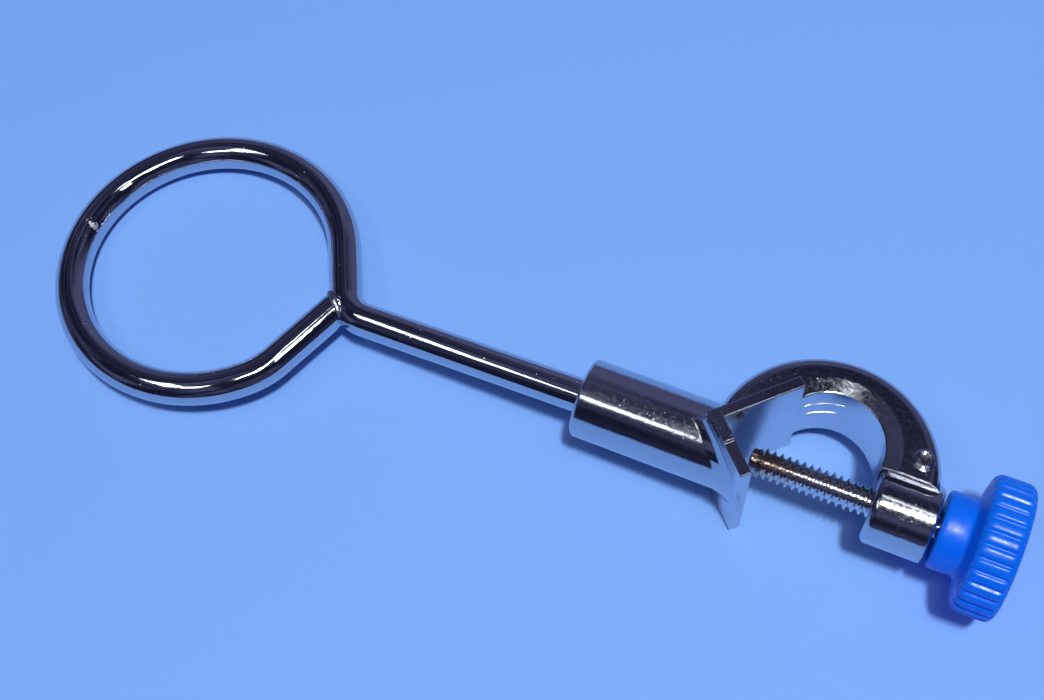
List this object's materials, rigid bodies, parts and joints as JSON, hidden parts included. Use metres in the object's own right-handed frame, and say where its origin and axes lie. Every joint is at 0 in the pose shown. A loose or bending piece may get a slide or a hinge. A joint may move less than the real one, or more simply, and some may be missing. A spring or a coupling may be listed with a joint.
{
  "type": "support_ring_clamp",
  "caption": "Chrome-plated laboratory support ring on a bent bar with a die-cast clamp and blue thumbscrew, for holding glassware on a stand rod",
  "frame": {"origin": "on the axis of the stand rod that the jaw is drawn for (12.7 mm), at half the jaw's height", "axes": "+X along the screw towards the knob, +Y towards the side of the C-shaped arm, +Z along the stand rod and square to the ring's plane"},
  "size_m": [0.2386, 0.0764, 0.0318],
  "materials": {
    "plated_steel": "bright chrome plate on drawn steel bar",
    "plated_casting": "chrome plate over a die casting, slightly mottled",
    "steel_screw": "bright zinc-plated thread, dulled near the tip",
    "blue_plastic": "glossy moulded plastic"
  },
  "bodies": {
    "clamp": {"support_ring": "plated_steel", "clamp_body": "plated_casting"},
    "screw": {"screw_stud": "steel_screw"},
    "knob": {"knob": "blue_plastic"}
  },
  "joints": [
    {"name": "screw_slide", "type": "slide", "parent": "clamp", "child": "screw", "axis": [1, 0, 0], "range_m": [-0.0007, 0.0262]},
    {"name": "knob_turn", "type": "hinge", "parent": "screw", "child": "knob", "pos_m": [0.05, 0, 0], "axis": [1, 0, 0], "range_deg": [-145, 5500]}
  ],
  "couplings": [
    {"joint": "screw_slide", "follows": "knob_turn", "m_per_rad": 0.00027056}
  ]
}
